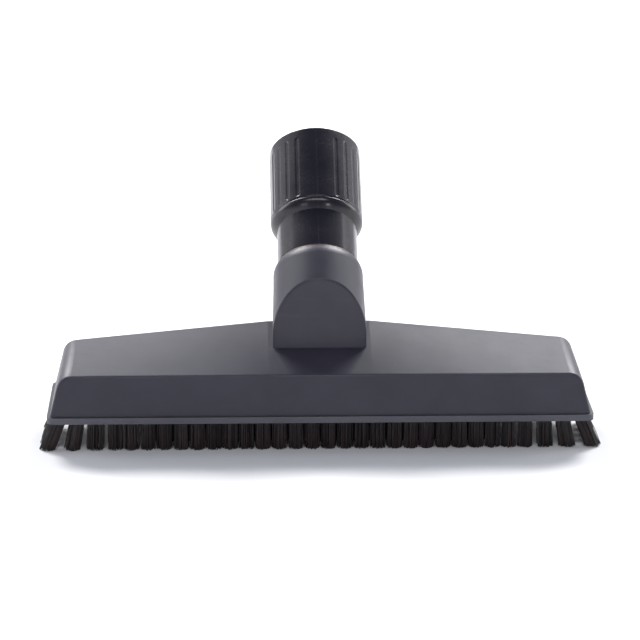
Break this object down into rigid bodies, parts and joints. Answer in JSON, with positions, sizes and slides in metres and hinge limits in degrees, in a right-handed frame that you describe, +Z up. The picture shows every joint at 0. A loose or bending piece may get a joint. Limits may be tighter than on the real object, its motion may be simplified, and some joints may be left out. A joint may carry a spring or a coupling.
{
  "type": "wet dry floor scrubber",
  "caption": "Wet and dry vacuum floor brush head with front and end bristles, a squeegee blade and a swivelling hose tube on a leaning neck.",
  "frame": {"origin": "on the floor, under the middle of the whole head's length and depth", "axes": "+X to the right seen from the front, +Y to the back where the neck leans, +Z up from the floor"},
  "size_m": [0.2622, 0.1208, 0.1332],
  "materials": {
    "hood_plastic": "satin, moulded, dark blue grey",
    "frame_plastic": "satin, moulded, a little lighter than the hood",
    "tube_plastic": "semi gloss, moulded, black",
    "bearing_plastic": "smooth acetal, brown",
    "bristle_nylon": "nylon filament, brown black",
    "rubber": "soft black rubber",
    "steel": "zinc plated"
  },
  "bodies": {
    "head": {"hood": "hood_plastic", "base_frame": "frame_plastic", "neck_bush": "bearing_plastic", "thrust_washer": "bearing_plastic", "front_bristles": "bristle_nylon", "left_end_bristles": "bristle_nylon", "right_end_bristles": "bristle_nylon", "tuft_staples": "steel", "front_brush_bar": "frame_plastic", "left_brush_bar": "frame_plastic", "right_brush_bar": "frame_plastic", "front_lip": "rubber", "rear_blade": "rubber", "front_lip_clamp": "frame_plastic", "rear_blade_clamp": "frame_plastic", "clamp_screws": "steel", "frame_gasket": "rubber", "frame_screws": "steel"},
    "swivel": {"swivel_tube": "tube_plastic", "neck_seal": "rubber", "retaining_ring": "steel"}
  },
  "joints": [
    {"name": "neck_swivel", "type": "hinge", "parent": "head", "child": "swivel", "pos_m": [0, -0.03647, 0.0499], "axis": [0, 0.7826, 0.6225], "continuous": true}
  ]
}
